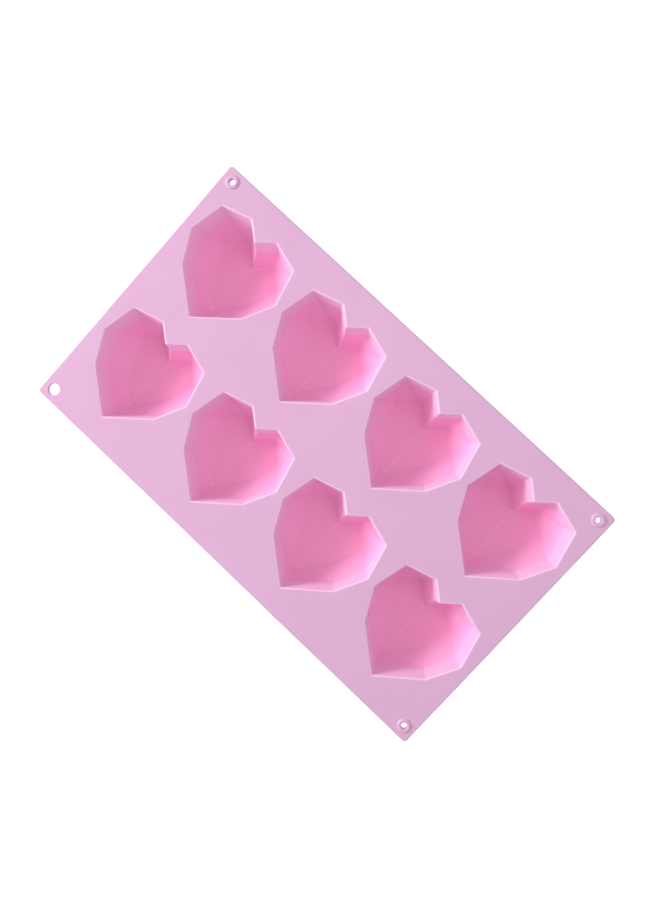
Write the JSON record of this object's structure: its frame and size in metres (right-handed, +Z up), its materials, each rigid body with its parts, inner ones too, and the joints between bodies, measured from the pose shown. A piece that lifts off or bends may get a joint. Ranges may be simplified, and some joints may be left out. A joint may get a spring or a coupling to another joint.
{
  "type": "resin casting mould",
  "caption": "Flexible rectangular casting mould: a thin flat sheet with rows of faceted heart-shaped pockets open at the top, a hang hole and small collared corner holes.",
  "frame": {"origin": "under the centre of the sheet, level with the lowest points of the pockets", "axes": "+X along the long side of the sheet, +Z up out of the pocket mouths, the heart tips point to -Y"},
  "size_m": [0.295, 0.173, 0.0328],
  "materials": {
    "silicone": "satin silicone, slightly translucent pink"
  },
  "bodies": {
    "column_1": {"sheet_strip_1": "silicone", "heart_pocket_back_1": "silicone", "heart_pocket_front_1": "silicone", "flex_web_1": "silicone", "corner_collar_back_left": "silicone"},
    "column_2": {"sheet_strip_2": "silicone", "heart_pocket_back_2": "silicone", "heart_pocket_front_2": "silicone", "flex_web_2": "silicone"},
    "column_3": {"sheet_strip_3": "silicone", "heart_pocket_back_3": "silicone", "heart_pocket_front_3": "silicone", "flex_web_3": "silicone"},
    "column_4": {"sheet_strip_4": "silicone", "heart_pocket_back_4": "silicone", "heart_pocket_front_4": "silicone", "corner_collar_back_right": "silicone", "corner_collar_front_right": "silicone"}
  },
  "joints": [
    {"name": "web_bend_1", "type": "hinge", "parent": "column_1", "child": "column_2", "pos_m": [-0.072, 0, 0.03099], "axis": [0, -1, 0], "range_deg": [-20, 60], "stiffness_Nm_per_rad": 0.03, "deforming": ["flex_web_1"]},
    {"name": "web_bend_2", "type": "hinge", "parent": "column_2", "child": "column_3", "pos_m": [0, 0, 0.03099], "axis": [0, -1, 0], "range_deg": [-20, 60], "stiffness_Nm_per_rad": 0.03, "deforming": ["flex_web_2"]},
    {"name": "web_bend_3", "type": "hinge", "parent": "column_3", "child": "column_4", "pos_m": [0.072, 0, 0.03099], "axis": [0, -1, 0], "range_deg": [-20, 60], "stiffness_Nm_per_rad": 0.03, "deforming": ["flex_web_3"]}
  ]
}
